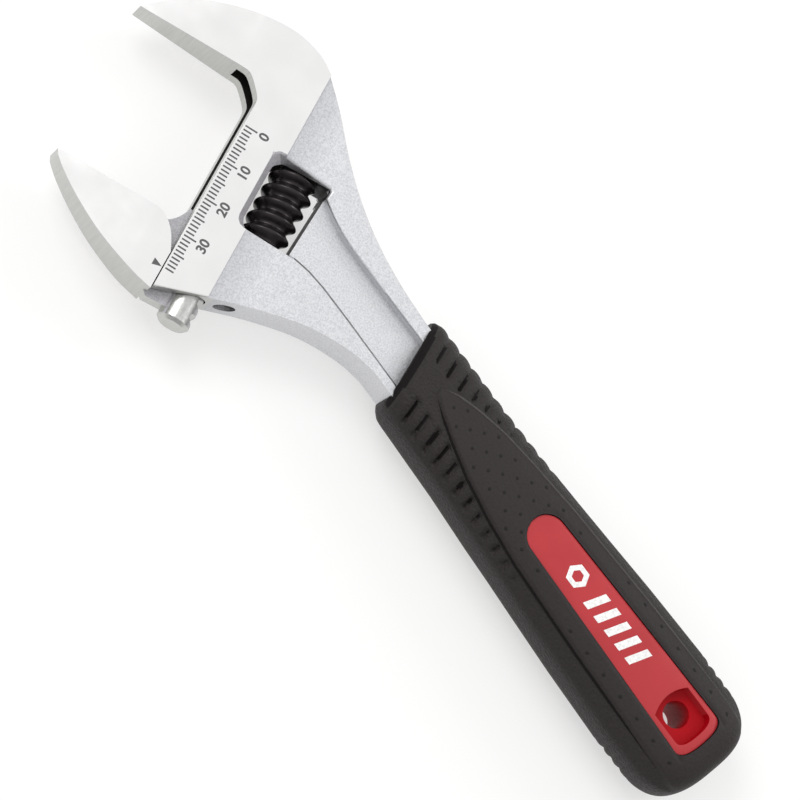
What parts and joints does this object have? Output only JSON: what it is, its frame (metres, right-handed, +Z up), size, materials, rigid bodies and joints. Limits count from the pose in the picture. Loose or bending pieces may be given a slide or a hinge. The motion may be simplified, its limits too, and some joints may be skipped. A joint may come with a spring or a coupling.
{
  "type": "adjustable wrench",
  "caption": "Adjustable wrench with a fixed jaw on an angled head, a sliding jaw driven by a worm in a window, and a soft moulded grip with a hanging hole.",
  "frame": {"origin": "middle of the base of the wrench's box, lying flat on the grip", "axes": "+X along the handle towards its end, the jaws open towards -Y, +Z up through the thickness"},
  "size_m": [0.216, 0.0684, 0.0197],
  "materials": {
    "forged_chrome": "polished head faces, satin forged neck",
    "jaw_chrome": "polished",
    "black_oxide": "black oxide, semi-gloss",
    "spring_steel": "bright drawn wire",
    "pin_steel": "oiled steel",
    "hard_red": "fine satin moulding",
    "soft_charcoal": "matte soft moulding with fine grain"
  },
  "bodies": {
    "frame_body": {"frame": "forged_chrome", "worm_pin": "pin_steel", "grip_core": "hard_red", "grip_sleeve": "soft_charcoal"},
    "jaw_body": {"moving_jaw": "jaw_chrome"},
    "worm_body": {"worm": "black_oxide", "worm_spring": "spring_steel"}
  },
  "joints": [
    {"name": "jaw_slide", "type": "slide", "parent": "frame_body", "child": "jaw_body", "axis": [-0.3827, 0.9239, 0], "range_m": [0, 0.039]},
    {"name": "worm_spin", "type": "hinge", "parent": "frame_body", "child": "worm_body", "pos_m": [-0.05594, 0.0131, 0.00985], "axis": [0.3827, -0.9239, 0], "range_deg": [-2, 3798]}
  ],
  "couplings": [
    {"joint": "worm_spin", "follows": "jaw_slide", "rad_per_m": 1698.2}
  ]
}
